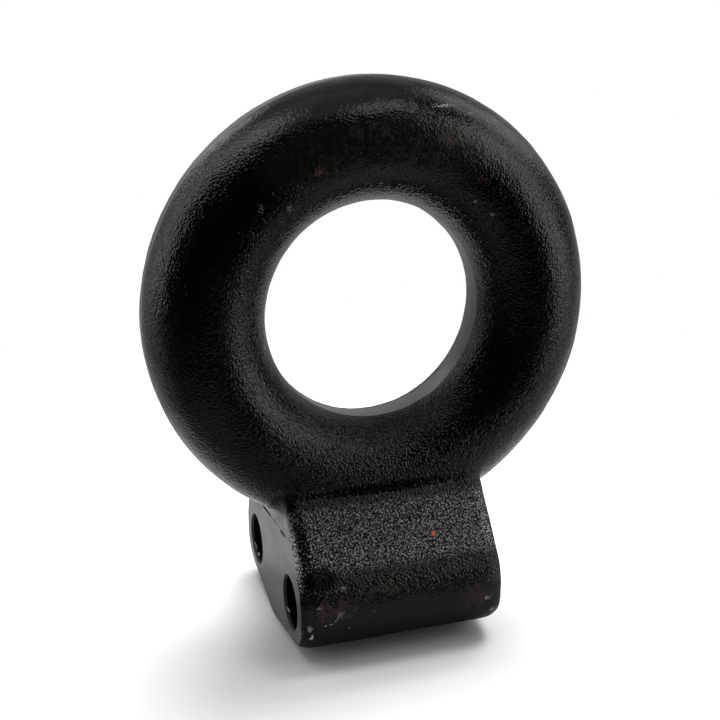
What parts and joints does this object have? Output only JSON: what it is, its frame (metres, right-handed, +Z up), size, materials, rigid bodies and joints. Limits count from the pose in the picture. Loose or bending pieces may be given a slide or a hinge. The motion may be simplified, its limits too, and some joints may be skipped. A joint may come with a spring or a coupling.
{
  "type": "pintle ring",
  "caption": "Forged steel towing eye: a thick round-bar ring on a wedge-shaped foot with milled ends and two cross holes for bolting it inside a channel.",
  "frame": {"origin": "middle of the flat land that the foot stands on, straight below the middle of the eye", "axes": "+X along the bolt holes, +Y along the eye's axis (the pictured front faces -Y), +Z up from the foot to the eye"},
  "size_m": [0.1582, 0.0836, 0.193],
  "materials": {
    "black_paint": "semi-gloss black paint over a coarse forged skin"
  },
  "bodies": {
    "root": {"ring_forging": "black_paint"}
  },
  "joints": []
}
